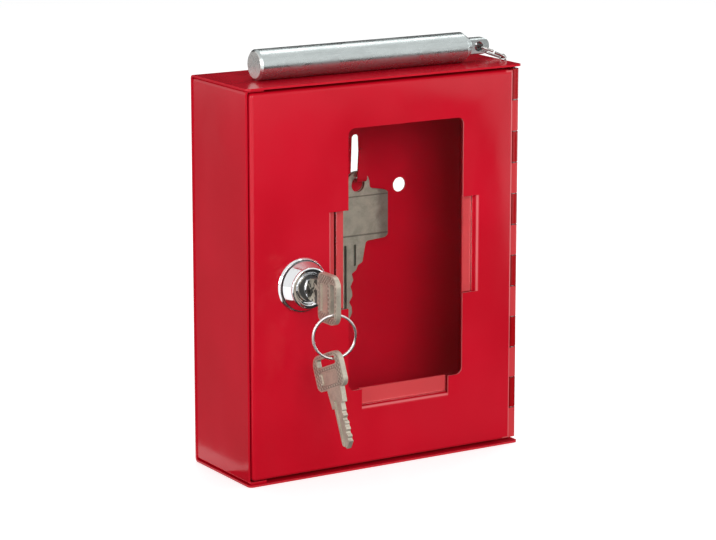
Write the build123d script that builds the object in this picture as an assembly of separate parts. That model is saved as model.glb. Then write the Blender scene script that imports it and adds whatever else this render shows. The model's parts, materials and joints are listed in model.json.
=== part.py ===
"""Break glass key box: sheet steel wall box with a hinged, cam locked door, a replaceable glass pane,
a stored key on a hook, and a striker rod tethered by a small chain.

Millimetres. The front faces -Y, +X is the viewer's right and +Z is up. The origin is the centre of
the bottom plate's underside.
"""

from build123d import *
from math import atan2, cos, degrees, radians, sin
import os

# Box
WIDTH = 125.0
HEIGHT = 155.0
DEPTH = 44.0
SHEET = 0.8
BEND_OUT = 1.6  # outer radius of a bend in the sheet
BEND_IN = BEND_OUT - SHEET
PLATE_OVERHANG = 0.4  # how far the top and bottom plates stand past the left side panel
PLATE_CORNER = 2.0
FLANGE = 8.0  # width of the side panels' welded flanges
SIDE_FRONT_SETBACK = 1.6

FRONT_Y = -DEPTH / 2
BACK_Y = DEPTH / 2
BACK_FACE_Y = BACK_Y - SHEET
SIDE_FRONT_Y = FRONT_Y + SIDE_FRONT_SETBACK
LEFT_X = -WIDTH / 2 + PLATE_OVERHANG

# Wall holes
WALL_HOLE_SPACING = 63.6
WALL_HOLE_Z = 102.7
WALL_HOLE_R = 3.0

# Hook, cut from the back panel and bent forward
HOOK_X = 10.9
HOOK_ROOT_Z = 106.4
HOOK_REACH = 6.4
HOOK_TIP_Z = 120.2
HOOK_ROOT_WIDTH = 4.5
HOOK_TIP_WIDTH = 3.1
HOOK_SLOT_TOP_Z = 125.1

# Door
DOOR_LEFT_X = -60.6
DOOR_Z0 = 1.9
DOOR_Z1 = 153.0
DOOR_FACE_Y = FRONT_Y + 0.8
DOOR_INNER_Y = DOOR_FACE_Y + SHEET
RETURN_RIGHT_X = 57.0

# Hinge
KNUCKLES = 12
PIN_R = 0.9
BORE_R = 0.93
KNUCKLE_R = BORE_R + SHEET
KNUCKLE_GAP = 0.45
HINGE_Z0 = 2.1
HINGE_Z1 = 153.3
HINGE_X = 60.57
HINGE_SETBACK = 0.5  # how far the knuckles stand behind the door's face
HINGE_Y = DOOR_FACE_Y + HINGE_SETBACK + KNUCKLE_R
RIGHT_X = HINGE_X + KNUCKLE_R
KNUCKLE_RELIEF = 2.02  # distance from the pin's axis to the door's cut back edge
PANEL_RELIEF = 1.87  # distance from the pin's axis to the side panel's cut back edge
DOOR_EDGE_SLOPE, DOOR_EDGE_DROP = 0.9, 0.45  # the pressed slope along the door's hinge edge
KNUCKLE_LAP = 1.3  # how far the knuckles' sheet runs on behind the door's
CURL_END_DOOR = 200.0  # where the rolled sheet ends, degrees round the pin from +X
CURL_END_BODY = 110.0

# Window and the three joggled tabs behind it
WINDOW_X0, WINDOW_X1 = -17.5, 35.5
WINDOW_Z0, WINDOW_Z1 = 32.1, 136.0
WINDOW_CORNER = 2.8
LEFT_NOTCH, RIGHT_NOTCH = 7.4, 6.2
SIDE_NOTCH_Z0, SIDE_NOTCH_Z1 = 65.2, 104.2
TAB_SETBACK = 1.1  # how far the side tabs' ends stand back from the window's edges
BOTTOM_NOTCH = 6.8
BOTTOM_NOTCH_X0, BOTTOM_NOTCH_X1 = -11.4, 29.0
TAB_BEND_OUT = 1.7
TAB_BEND_IN = TAB_BEND_OUT - SHEET
TAB_ROOT = 2.0  # from the bent wall's face to where the door's sheet begins

# Glass
PANE = 2.0
PANE_GAP = 0.1
PANE_SIDE_LAP = 5.0
PANE_TOP_LAP = 6.0
PANE_FOOT_GAP = 0.3
TAB_FACE_Y = DOOR_INNER_Y + PANE + 2 * PANE_GAP

# Cam lock, on an axis along Y
LOCK_X = -38.3
LOCK_Z = 77.1
LOCK_FRONT_Y = -27.8
FLANGE_R = 10.75
FLANGE_EDGE = 0.25
BEVEL_R, BEVEL = 10.22, 0.75  # the flange's bevel: its inner radius and its depth
GROOVE_R, GROOVE = 9.4, 0.75  # between the bevel and the cone, which have one slope
CONE_R0, CONE_R1 = 9.7, 7.25
CONE_LENGTH = 3.5
LIP_R, LIP = 8.15, 0.85  # the front lip that stands out past the cone's waist
BARREL_R = 8.0
BARREL_FLAT = 6.9
BARREL_BACK_Y = -9.3
PLUG_R = 5.45
PLUG_BORE_R = 5.5
PLUG_FACE_Y = -26.8
LOCK_HOLE_GAP = 0.15
WASHER = 0.8
NUT = 3.2
NUT_ACROSS_FLATS = 20.0
CAM = 1.6
CAM_LENGTH = 18.0
CAM_WIDTH = 9.0
CAM_WASHER = 0.6
STUB = 6.0  # square on the plug's rear end that turns the cam
WAFERS = 4
WAFER = 0.6
WAFER_PITCH = 2.6
WAFER_FIRST_Y = -23.6
CAM_GAP = 0.2
CAM_FRONT_Y = BARREL_BACK_Y + CAM_GAP
CATCH_FACE_Y = CAM_FRONT_Y - CAM_GAP - SHEET
DOOR_RETURN = CATCH_FACE_Y - 0.1 - DOOR_FACE_Y  # depth of the door's edges, which stop on the catch
CATCH_REACH = 7.8
CATCH_Z0, CATCH_Z1 = 66.0, 88.0
CATCH_LEG = 12.0

# Small keys: u runs across, v runs from the bow's far end to the blade's tip
KEY = 2.0
BOW_WIDTH = 19.2
BOW_LENGTH = 13.8
BOW_CORNER_FAR, BOW_CORNER_NEAR = 4.4, 2.8
SLOT_V0, SLOT_V1 = 1.7, 4.8
SLOT_HALF = 6.3
RECESS_V0, RECESS_V1 = 7.1, 11.4
RECESS_HALF = 5.2
RECESS_DEPTH = 0.35
BLADE_U = 1.4
BLADE_WIDTH = 5.2
SHOULDER_V = 21.4
KEY_LENGTH = 37.3
CUTS = (0.4, 0.8, 0.3, 0.65, 0.45)
GROOVE_START_V = 18.4
KEY_PLAY = 0.15
LOCK_KEY_FAR_Y = PLUG_FACE_Y - 0.2 - SHOULDER_V

# Key ring
RING_R = 8.4
RING_WIRE_R = 0.6
RING_YAW = radians(14.0)
RING_SEAT = 0.75  # from the slot's end to the wire's centre
SPARE_YAW = radians(3.5)
HANG_FROM_END = 1.45  # wire's centre from the end and the side of the spare key's slot
HANG_FROM_SIDE = 1.25

# Stored key on the hook
STORED_Y0, STORED_Y1 = 19.0, 21.0
STORED_HOLE_R = 3.1
STORED_RIM_R = 5.4

# Striker rod
ROD_R = 6.0
ROD_Y = -5.3
ROD_LIFT = 0.05
ROD_X0 = -49.8
ROD_SHOULDER_X = 43.9
NECK_X = 47.3
NECK_R = 3.5
ROD_X1 = 56.2
EYE_X = 51.3
EYE_R = 2.0
TONGUE = 4.4  # thickness between the flats
ROD_Z = HEIGHT + ROD_LIFT + ROD_R

# Tether
TETHER_RING_R = 6.7
TETHER_WIRE_R = 0.55
TETHER_DROP = 24.0  # degrees that the ring leans down to the right
TETHER_SEAT = 0.65  # the ring's wire from the eye's axis
LINK_WIRE_R = 0.45
LINK_BEND_R = 1.25
LINK_STRAIGHT = 2.8
LINK_SIDE_PLAY = 0.15  # the chain's line from the tether ring's wire
LINK_PLAY = 0.06
LINKS = 12
RIVET_R = 0.75
RIVET_HEAD_R = 2.2


def outline(corners):
    """Face inside a closed outline of (a, b, corner radius)."""
    points = [(a, b) for a, b, _ in corners]
    return make_face(FilletPolyline(*points, radius=[r for _, _, r in corners], close=True))


def rectangle(a0, b0, a1, b1, r=0.0):
    return outline([(a0, b0, r), (a1, b0, r), (a1, b1, r), (a0, b1, r)])


def disc(a, b, r):
    return Pos(a, b) * Circle(r)


def prism(sketch, axis, start, end):
    """Solid of a sketch drawn square to an axis, from start to end along that axis.

    The sketch's two directions are Y and Z for an X prism, X and Z for a Y prism, X and Y for a Z prism.
    """
    if axis == "X":
        return extrude(Plane.YZ.offset(start) * sketch, end - start)
    if axis == "Y":
        return extrude(Plane.XZ.offset(-end) * sketch, end - start)
    return extrude(Plane.XY.offset(start) * sketch, end - start)


def turned(profile, x, z):
    """Solid turned about a Y axis through (x, z), from corners of (radius, y, corner radius)."""
    return Pos(x, 0, z) * revolve(outline(profile), Axis.Y)


def knuckle_span(index):
    """Lowest and highest z of one knuckle, counted from the top."""
    pitch = (HINGE_Z1 - HINGE_Z0) / KNUCKLES
    top = HINGE_Z1 - index * pitch
    return top - pitch + KNUCKLE_GAP / 2, top - KNUCKLE_GAP / 2


def curl(gap_start, gap_end):
    """Section of a sheet rolled round the pin, open between two angles in degrees."""
    middle = (gap_start + gap_end) / 2
    reach = 3 * KNUCKLE_R
    wedge = [(0.0, 0.0)]
    for angle in (gap_start, middle, gap_end):
        wedge.append((reach * cos(radians(angle)), reach * sin(radians(angle))))
    ring = Circle(KNUCKLE_R) - Circle(BORE_R)
    return Pos(HINGE_X, HINGE_Y) * (ring - make_face(Polyline(*wedge, close=True)))


def make_back_shell():
    """Back panel with the top and bottom plates bent forward from it."""
    section = [
        (FRONT_Y, 0, 0),
        (BACK_Y, 0, BEND_OUT),
        (BACK_Y, HEIGHT, BEND_OUT),
        (FRONT_Y, HEIGHT, 0),
        (FRONT_Y, HEIGHT - SHEET, 0),
        (BACK_FACE_Y, HEIGHT - SHEET, BEND_IN),
        (BACK_FACE_Y, SHEET, BEND_IN),
        (FRONT_Y, SHEET, 0),
    ]
    shell = prism(outline(section), "X", -WIDTH / 2, WIDTH / 2)
    corners = shell.edges().filter_by(Axis.Z).filter_by_position(Axis.Y, FRONT_Y - 0.1, FRONT_Y + 0.1)
    shell = fillet(corners, PLATE_CORNER)
    for side in (-1, 1):
        hole = disc(side * WALL_HOLE_SPACING / 2, WALL_HOLE_Z, WALL_HOLE_R)
        shell -= prism(hole, "Y", BACK_FACE_Y - 1, BACK_Y + 1)
    half_root = HOOK_ROOT_WIDTH / 2
    half_tip = HOOK_TIP_WIDTH / 2
    slot = [
        (HOOK_X - half_root, HOOK_ROOT_Z, 0),
        (HOOK_X + half_root, HOOK_ROOT_Z, 0),
        (HOOK_X + half_tip, HOOK_SLOT_TOP_Z, half_tip * 0.9),
        (HOOK_X - half_tip, HOOK_SLOT_TOP_Z, half_tip * 0.9),
    ]
    shell -= prism(outline(slot), "Y", BACK_FACE_Y - 1, BACK_Y + 1)
    return shell + make_hook()


def make_hook():
    """Tongue of the back panel: forward from its root, then up, tapering to a rounded tip."""
    front = BACK_Y - HOOK_REACH
    path = [
        (BACK_Y, HOOK_ROOT_Z, 0),
        (BACK_Y, HOOK_ROOT_Z + SHEET, 0),
        (front + SHEET, HOOK_ROOT_Z + SHEET, 1.2),
        (front + SHEET, HOOK_TIP_Z, 0),
        (front, HOOK_TIP_Z, 0),
        (front, HOOK_ROOT_Z, 1.2 + SHEET),
    ]
    half_root = HOOK_ROOT_WIDTH / 2
    half_tip = HOOK_TIP_WIDTH / 2
    face = [
        (HOOK_X - half_root, HOOK_ROOT_Z - 1, 0),
        (HOOK_X + half_root, HOOK_ROOT_Z - 1, 0),
        (HOOK_X + half_root, HOOK_ROOT_Z + SHEET, 0),
        (HOOK_X + half_tip, HOOK_TIP_Z, half_tip * 0.9),
        (HOOK_X - half_tip, HOOK_TIP_Z, half_tip * 0.9),
        (HOOK_X - half_root, HOOK_ROOT_Z + SHEET, 0),
    ]
    strip = prism(outline(path), "X", HOOK_X - half_root, HOOK_X + half_root)
    return strip & prism(outline(face), "Y", front - 1, BACK_Y + 1)


def side_section(outer, inward):
    """Section of a side panel in X and Z, with its two flanges bent inward."""
    z0, z1 = SHEET, HEIGHT - SHEET
    inner = outer + inward * SHEET
    edge = outer + inward * FLANGE
    return outline(
        [
            (edge, z0, 0),
            (outer, z0, BEND_OUT),
            (outer, z1, BEND_OUT),
            (edge, z1, 0),
            (edge, z1 - SHEET, 0),
            (inner, z1 - SHEET, BEND_IN),
            (inner, z0 + SHEET, BEND_IN),
            (edge, z0 + SHEET, 0),
        ]
    )


def side_panel(outer, inward, front):
    """Flanged side panel, its rear corners relieved where the back shell's bends run."""
    panel = prism(side_section(outer, inward), "Y", front, BACK_FACE_Y)
    relief = SHEET + BEND_IN
    corner = BACK_FACE_Y - BEND_IN
    corners = rectangle(corner, 0, BACK_Y, relief) + rectangle(corner, HEIGHT - relief, BACK_Y, HEIGHT)
    return panel - prism(corners, "X", -WIDTH, WIDTH)


def make_left_side_panel():
    return side_panel(LEFT_X, 1, SIDE_FRONT_Y)


def make_right_side_panel():
    """Right panel, rolled round the pin at every second knuckle from the top one down."""
    front = HINGE_Y + PANEL_RELIEF
    panel = side_panel(RIGHT_X, -1, front)
    strip = rectangle(RIGHT_X - SHEET, HINGE_Y, RIGHT_X, front + 0.5)
    knuckle = curl(0, CURL_END_BODY) + strip
    for index in range(0, KNUCKLES, 2):
        panel += prism(knuckle, "Z", *knuckle_span(index))
    x, y, z = anchor_place()
    return panel - prism(disc(y, z, RIVET_R + 0.05), "X", RIGHT_X - 2, RIGHT_X + 1)


def make_catch_bracket():
    """Angle on the left panel: the cam turns behind its flange, the door's edge stops on its front."""
    wall = LEFT_X + SHEET
    section = [
        (wall, CATCH_FACE_Y, BEND_OUT),
        (wall + CATCH_REACH, CATCH_FACE_Y, 0),
        (wall + CATCH_REACH, CATCH_FACE_Y + SHEET, 0),
        (wall + SHEET, CATCH_FACE_Y + SHEET, BEND_IN),
        (wall + SHEET, CATCH_FACE_Y + CATCH_LEG, 0),
        (wall, CATCH_FACE_Y + CATCH_LEG, 0),
    ]
    return prism(outline(section), "Z", CATCH_Z0, CATCH_Z1)


def make_hinge_pin():
    pin = prism(disc(HINGE_X, HINGE_Y, PIN_R), "Z", HINGE_Z0, HINGE_Z1)
    return chamfer(pin.edges().filter_by(GeomType.CIRCLE), 0.25)


def tab_section(edge, inward, reach):
    """Joggled tab: from the door's sheet back behind the pane, then level with it as far as reach."""
    start = edge - inward * TAB_ROOT
    wall = edge - inward * SHEET
    return outline(
        [
            (start, DOOR_FACE_Y, 0),
            (edge, DOOR_FACE_Y, TAB_BEND_OUT),
            (edge, TAB_FACE_Y, TAB_BEND_IN),
            (reach, TAB_FACE_Y, 0),
            (reach, TAB_FACE_Y + SHEET, 0),
            (wall, TAB_FACE_Y + SHEET, TAB_BEND_OUT),
            (wall, DOOR_INNER_Y, TAB_BEND_IN),
            (start, DOOR_INNER_Y, 0),
        ]
    )


def make_door_panel():
    """Door with returned left, top and bottom edges, window, pane tabs, lock hole and knuckles."""
    back = DOOR_FACE_Y + DOOR_RETURN
    pan = Box(HINGE_X - DOOR_LEFT_X, DOOR_RETURN, DOOR_Z1 - DOOR_Z0)
    pan = Pos((HINGE_X + DOOR_LEFT_X) / 2, (DOOR_FACE_Y + back) / 2, (DOOR_Z0 + DOOR_Z1) / 2) * pan
    rim = pan.edges().filter_by(Axis.Y).group_by(Axis.X)[0]
    rim += pan.faces().sort_by(Axis.Y)[0].edges() - pan.faces().sort_by(Axis.X)[-1].edges()
    pan = fillet(rim, BEND_OUT)
    hollow = Box(HINGE_X - DOOR_LEFT_X + 10, DOOR_RETURN + 10, DOOR_Z1 - DOOR_Z0 - 2 * SHEET)
    hollow = Pos(
        (HINGE_X + DOOR_LEFT_X + 10) / 2 + SHEET,
        (DOOR_FACE_Y + back + 10) / 2 + SHEET,
        (DOOR_Z0 + DOOR_Z1) / 2,
    ) * hollow
    rim = hollow.edges().filter_by(Axis.Y).group_by(Axis.X)[0]
    rim += hollow.faces().sort_by(Axis.Y)[0].edges() - hollow.faces().sort_by(Axis.X)[-1].edges()
    door = pan - fillet(rim, BEND_IN)
    door -= prism(rectangle(RETURN_RIGHT_X, DOOR_Z0 - 1, WIDTH, DOOR_Z1 + 1), "Y", DOOR_INNER_Y, BACK_Y)
    door -= prism(
        rectangle(HINGE_X - KNUCKLE_RELIEF, DOOR_Z0 - 1, WIDTH, DOOR_Z1 + 1), "Y", FRONT_Y, BACK_Y
    )
    knuckle = curl(CURL_END_DOOR, 270)
    edge = HINGE_X - KNUCKLE_RELIEF
    face = DOOR_FACE_Y + HINGE_SETBACK
    knuckle += rectangle(edge - KNUCKLE_LAP, face, HINGE_X, face + SHEET)
    slope = DOOR_EDGE_DROP / DOOR_EDGE_SLOPE
    wedge = Polyline(
        (edge - DOOR_EDGE_SLOPE - 1, DOOR_FACE_Y - slope),
        (edge + 1, DOOR_FACE_Y - slope),
        (edge + 1, DOOR_FACE_Y + DOOR_EDGE_DROP + slope),
        close=True,
    )
    door -= prism(make_face(wedge), "Z", DOOR_Z0 - 1, DOOR_Z1 + 1)
    for index in range(1, KNUCKLES, 2):
        door += prism(knuckle, "Z", *knuckle_span(index))

    cuts = rectangle(WINDOW_X0, WINDOW_Z0, WINDOW_X1, WINDOW_Z1, WINDOW_CORNER)
    left_wall = WINDOW_X0 - LEFT_NOTCH
    right_wall = WINDOW_X1 + RIGHT_NOTCH
    cuts += rectangle(left_wall - TAB_ROOT, SIDE_NOTCH_Z0, right_wall + TAB_ROOT, SIDE_NOTCH_Z1)
    foot = WINDOW_Z0 - BOTTOM_NOTCH
    cuts += rectangle(BOTTOM_NOTCH_X0, foot - TAB_ROOT, BOTTOM_NOTCH_X1, WINDOW_Z0 + 1)
    door -= prism(cuts, "Y", FRONT_Y, DOOR_INNER_Y + 0.5)
    left = tab_section(left_wall, 1, WINDOW_X0 - TAB_SETBACK)
    right = tab_section(right_wall, -1, WINDOW_X1 + TAB_SETBACK)
    for section in (left, right):
        door += prism(section, "Z", SIDE_NOTCH_Z0, SIDE_NOTCH_Z1)
    # The bottom tab's section is drawn with Z in place of X, so its sketch is turned to stand up.
    standing = Plane(origin=(BOTTOM_NOTCH_X0, 0, 0), x_dir=(0, 0, 1), z_dir=(-1, 0, 0))
    door += extrude(standing * tab_section(foot, 1, WINDOW_Z0), BOTTOM_NOTCH_X0 - BOTTOM_NOTCH_X1)

    hole = disc(LOCK_X, LOCK_Z, BARREL_R + LOCK_HOLE_GAP)
    flat = BARREL_FLAT + LOCK_HOLE_GAP
    hole &= rectangle(LOCK_X - flat, LOCK_Z - 2 * BARREL_R, LOCK_X + flat, LOCK_Z + 2 * BARREL_R)
    return door - prism(hole, "Y", FRONT_Y - 1, DOOR_INNER_Y + 1)


def make_glass_pane():
    foot = WINDOW_Z0 - BOTTOM_NOTCH + PANE_FOOT_GAP
    face = rectangle(WINDOW_X0 - PANE_SIDE_LAP, foot, WINDOW_X1 + PANE_SIDE_LAP, WINDOW_Z1 + PANE_TOP_LAP)
    pane = prism(face, "Y", DOOR_INNER_Y + PANE_GAP, DOOR_INNER_Y + PANE_GAP + PANE)
    return chamfer(pane.edges(), 0.25)


def make_lock_housing():
    """Bevelled flange, groove, cone down to a waist, round lip, and the flatted barrel behind the door."""
    groove_y = DOOR_FACE_Y - FLANGE_EDGE - BEVEL
    body = turned(
        [
            (PLUG_BORE_R, PLUG_FACE_Y, 0),
            (LIP_R - 2.2, PLUG_FACE_Y - 0.1, 0),
            (LIP_R - 1.6, LOCK_FRONT_Y, 0.45),
            (LIP_R, LOCK_FRONT_Y, 0.6),
            (LIP_R, LOCK_FRONT_Y + LIP, 0.15),
            (CONE_R1, groove_y - GROOVE - CONE_LENGTH, 0.3),
            (CONE_R0, groove_y - GROOVE, 0.08),
            (GROOVE_R, groove_y - GROOVE, 0.08),
            (GROOVE_R, groove_y, 0.12),
            (BEVEL_R, groove_y, 0.12),
            (FLANGE_R, DOOR_FACE_Y - FLANGE_EDGE, 0.12),
            (FLANGE_R, DOOR_FACE_Y, 0),
            (BARREL_R, DOOR_FACE_Y, 0),
            (BARREL_R, BARREL_BACK_Y, 0.4),
            (PLUG_BORE_R, BARREL_BACK_Y, 0),
        ],
        LOCK_X,
        LOCK_Z,
    )
    for side in (-1, 1):
        flat = rectangle(-4, -2 * BARREL_R, 4, 2 * BARREL_R)
        cut = prism(flat, "Y", DOOR_FACE_Y, BARREL_BACK_Y + 1)
        body -= Pos(LOCK_X + side * (BARREL_FLAT + 4), 0, LOCK_Z) * cut
    return body


def make_lock_washer():
    ring = disc(LOCK_X, LOCK_Z, 11.0) - disc(LOCK_X, LOCK_Z, BARREL_R + 0.1)
    return prism(ring, "Y", DOOR_INNER_Y, DOOR_INNER_Y + WASHER)


def make_lock_nut():
    """Hexagon nut, its bore a hair over the barrel's thread, chamfered at its corners."""
    start = DOOR_INNER_Y + WASHER
    corner_r = NUT_ACROSS_FLATS / 3**0.5
    hexagon = Pos(LOCK_X, LOCK_Z) * RegularPolygon(corner_r, 6)
    nut = prism(hexagon - disc(LOCK_X, LOCK_Z, BARREL_R + 0.05), "Y", start, start + NUT)
    crown = turned(
        [
            (0, start, 0),
            (corner_r, start, 0),
            (corner_r, start + NUT - 0.7, 0),
            (corner_r - 1.2, start + NUT, 0),
            (0, start + NUT, 0),
        ],
        LOCK_X,
        LOCK_Z,
    )
    return nut & crown


def wafer_places():
    return [WAFER_FIRST_Y + index * WAFER_PITCH for index in range(WAFERS)]


def make_lock_plug():
    """Turning plug: keyway, wafer slots, and the square stub that carries the cam."""
    plug = turned(
        [
            (0, PLUG_FACE_Y, 0),
            (PLUG_R, PLUG_FACE_Y, 0.25),
            (PLUG_R, BARREL_BACK_Y, 0),
            (0, BARREL_BACK_Y, 0),
        ],
        LOCK_X,
        LOCK_Z,
    )
    half = STUB / 2
    square = rectangle(LOCK_X - half, LOCK_Z - half, LOCK_X + half, LOCK_Z + half, 0.3)
    plug += prism(square, "Y", BARREL_BACK_Y, CAM_FRONT_Y + CAM)
    half_slot = KEY / 2 + KEY_PLAY
    half_blade = BLADE_WIDTH / 2 + KEY_PLAY
    keyway = rectangle(LOCK_X - half_slot, LOCK_Z - half_blade, LOCK_X + half_slot, LOCK_Z + half_blade)
    plug -= prism(keyway, "Y", PLUG_FACE_Y - 1, BARREL_BACK_Y - 1.5)
    for y in wafer_places():
        room = rectangle(LOCK_X - 3.05, LOCK_Z - PLUG_R, LOCK_X + 3.05, LOCK_Z + PLUG_R)
        plug -= prism(room, "Y", y - 0.05, y + WAFER + 0.05)
    return plug - prism(disc(LOCK_X, LOCK_Z, 1.5), "Y", BARREL_BACK_Y - 1.2, BACK_Y)


def make_lock_wafers():
    """Four flat wafers, each with a window that the key's blade passes through."""
    wafers = []
    half_slot = KEY / 2 + KEY_PLAY
    half_blade = BLADE_WIDTH / 2 + KEY_PLAY
    for y in wafer_places():
        plate = rectangle(LOCK_X - 3.0, LOCK_Z - 4.5, LOCK_X + 3.0, LOCK_Z + 4.5, 0.4)
        plate -= rectangle(
            LOCK_X - half_slot, LOCK_Z - half_blade, LOCK_X + half_slot, LOCK_Z + half_blade
        )
        wafers.append(prism(plate, "Y", y, y + WAFER))
    return Compound(wafers)


def make_lock_cam():
    """Flat cam with a square hole, pointing down as in the unlocked state."""
    half = CAM_WIDTH / 2
    blade = [
        (LOCK_X - half, LOCK_Z + half, half * 0.95),
        (LOCK_X - half, LOCK_Z - CAM_LENGTH, 1.5),
        (LOCK_X + half, LOCK_Z - CAM_LENGTH, 1.5),
        (LOCK_X + half, LOCK_Z + half, half * 0.95),
    ]
    hole = STUB / 2 + 0.05
    square = rectangle(LOCK_X - hole, LOCK_Z - hole, LOCK_X + hole, LOCK_Z + hole, 0.3)
    return prism(outline(blade) - square, "Y", CAM_FRONT_Y, CAM_FRONT_Y + CAM)


def make_cam_washer():
    start = CAM_FRONT_Y + CAM
    ring = disc(LOCK_X, LOCK_Z, 4.4) - disc(LOCK_X, LOCK_Z, 1.55)
    return prism(ring, "Y", start, start + CAM_WASHER)


def make_cam_screw():
    """Pan head screw with a cross recess, in the plug's rear end."""
    seat = CAM_FRONT_Y + CAM + CAM_WASHER
    screw = turned(
        [
            (0, BARREL_BACK_Y - 1.1, 0),
            (1.45, BARREL_BACK_Y - 1.1, 0.3),
            (1.45, seat, 0),
            (3.4, seat, 0),
            (3.4, seat + 2.0, 0.9),
            (0, seat + 2.0, 0),
        ],
        LOCK_X,
        LOCK_Z,
    )
    cross = rectangle(-2.0, -0.4, 2.0, 0.4) + rectangle(-0.4, -2.0, 0.4, 2.0)
    return screw - Pos(LOCK_X, 0, LOCK_Z) * prism(cross, "Y", seat + 0.9, seat + 3)


def make_small_key():
    """Key with a broad slotted bow, in its own frame: x is u, y is v and z is across its thickness."""
    half_bow = BOW_WIDTH / 2
    bow = outline(
        [
            (-half_bow, 0, BOW_CORNER_FAR),
            (half_bow, 0, BOW_CORNER_FAR),
            (half_bow, BOW_LENGTH, BOW_CORNER_NEAR),
            (-half_bow, BOW_LENGTH, BOW_CORNER_NEAR),
        ]
    )
    left, right = BLADE_U - BLADE_WIDTH / 2, BLADE_U + BLADE_WIDTH / 2
    shank = [
        (BLADE_U - 4.9, BOW_LENGTH - 0.6, 0),
        (BLADE_U + 4.9, BOW_LENGTH - 0.6, 0),
        (BLADE_U + 4.2, SHOULDER_V - 1.6, 0.3),
        (right, SHOULDER_V - 1.6, 0),
        (right, KEY_LENGTH - 2.4, 0.6),
        (BLADE_U - 0.3, KEY_LENGTH, 0.5),
        (left, KEY_LENGTH - 1.8, 0.4),
        (left, SHOULDER_V, 0),
        (BLADE_U - 4.0, SHOULDER_V, 0.3),
    ]
    face = bow + outline(shank)
    face -= rectangle(-SLOT_HALF, SLOT_V0, SLOT_HALF, SLOT_V1, 0.8)
    for index, depth in enumerate(CUTS):
        middle = SHOULDER_V + 2.0 + index * WAFER_PITCH
        face -= make_face(
            Polyline(
                (right + 0.1, middle - depth - 0.5),
                (right - depth, middle - 0.35),
                (right - depth, middle + 0.35),
                (right + 0.1, middle + depth + 0.5),
                close=True,
            )
        )
    key = extrude(face, KEY / 2, both=True)
    recess = rectangle(-RECESS_HALF, RECESS_V0, RECESS_HALF, RECESS_V1, 0.5)
    groove = rectangle(left + 0.8, GROOVE_START_V, left + 2.4, KEY_LENGTH + 1, 0.3)
    for side in (-1, 1):
        key -= Pos(0, 0, side * (KEY / 2 - RECESS_DEPTH + 2)) * extrude(recess, 2, both=True)
        key -= Pos(0, 0, side * (KEY / 2 - 0.45 + 2)) * extrude(groove, 2, both=True)
    return key


def make_lock_key():
    place = Plane(
        origin=(LOCK_X, LOCK_KEY_FAR_Y, LOCK_Z - BLADE_U), x_dir=(0, 0, 1), z_dir=(-1, 0, 0)
    )
    return place.location * make_small_key()


def ring_top():
    """Centre of the ring's wire where it passes through the lock key's slot."""
    y = LOCK_KEY_FAR_Y + (SLOT_V0 + SLOT_V1) / 2
    return Vector(LOCK_X, y, LOCK_Z - BLADE_U - SLOT_HALF + RING_SEAT)


def ring_bottom():
    return ring_top() - Vector(0, 0, 2 * RING_R)


def make_key_ring():
    tangent = Vector(cos(RING_YAW), -sin(RING_YAW), 0)
    normal = Vector(-sin(RING_YAW), -cos(RING_YAW), 0)
    centre = ring_top() - Vector(0, 0, RING_R)
    place = Plane(origin=centre, x_dir=tangent, z_dir=normal)
    return place.location * Torus(RING_R, RING_WIRE_R)


def make_spare_key():
    """The small key again, hung from the end of its slot, at the lean that balances it there."""
    key = make_small_key()
    hang_u = SLOT_HALF - HANG_FROM_END
    hang_v = SLOT_V0 + HANG_FROM_SIDE
    balance = key.center(CenterOf.MASS)
    lean = atan2(hang_u - balance.X, balance.Y - hang_v)
    level = Vector(sin(SPARE_YAW), -cos(SPARE_YAW), 0)
    up = Vector(0, 0, 1)
    across = level * cos(lean) + up * sin(lean)
    along = level * sin(lean) - up * cos(lean)
    origin = ring_bottom() - across * hang_u - along * hang_v
    place = Plane(origin=origin, x_dir=across, z_dir=across.cross(along))
    print("spare key leans", round(degrees(lean), 1), "degrees")
    return place.location * key


def make_stored_key():
    """Large key on the hook: rim with a round hole, shouldered bow, grooved blade with deep cuts."""
    axis_z = HOOK_ROOT_Z + SHEET - (STORED_HOLE_R**2 - (HOOK_ROOT_WIDTH / 2) ** 2) ** 0.5 - 0.05
    x = HOOK_X
    bow = [
        (x - 13.7, 82.3, 2.2),
        (x - 13.7, 101.5, 2.6),
        (x - 5.6, 103.0, 2.0),
        (x - 4.8, 107.6, 0),
        (x + 4.8, 107.6, 0),
        (x + 5.6, 103.0, 2.0),
        (x + 14.2, 101.5, 1.8),
        (x + 14.2, 82.3, 2.2),
        (x + 3.7, 81.6, 1.6),
        (x + 2.0, 73.1, 0.5),
        (x - 0.1, 72.0, 0.3),
        (x - 1.0, 70.0, 0),
        (x - 3.0, 68.7, 0),
        (x - 2.3, 66.0, 0),
        (x - 3.6, 63.5, 0),
        (x - 2.9, 61.5, 0),
        (x - 2.8, 59.5, 0),
        (x - 4.2, 57.0, 0),
        (x - 3.1, 55.0, 0),
        (x - 2.9, 52.5, 0.5),
        (x - 4.3, 49.8, 0.4),
        (x - 7.2, 52.8, 0.5),
        (x - 7.4, 81.6, 1.6),
    ]
    face = outline(bow) + disc(x, axis_z, STORED_RIM_R) - disc(x, axis_z, STORED_HOLE_R)
    key = prism(face, "Y", STORED_Y0, STORED_Y1)
    panel = rectangle(x - 20, 84.2, x + 20, 100.2)
    grooves = rectangle(x - 6.6, 48.0, x - 5.4, 80.6, 0.5) + rectangle(x - 2.1, 71.6, x - 0.9, 80.6, 0.5)
    key -= prism(panel, "Y", STORED_Y0 - 1, STORED_Y0 + 0.2)
    key -= prism(panel, "Y", STORED_Y1 - 0.2, STORED_Y1 + 1)
    key -= prism(grooves, "Y", STORED_Y0 - 1, STORED_Y0 + 0.8)
    print("stored key hangs about z", round(axis_z, 3))
    return key


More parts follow.
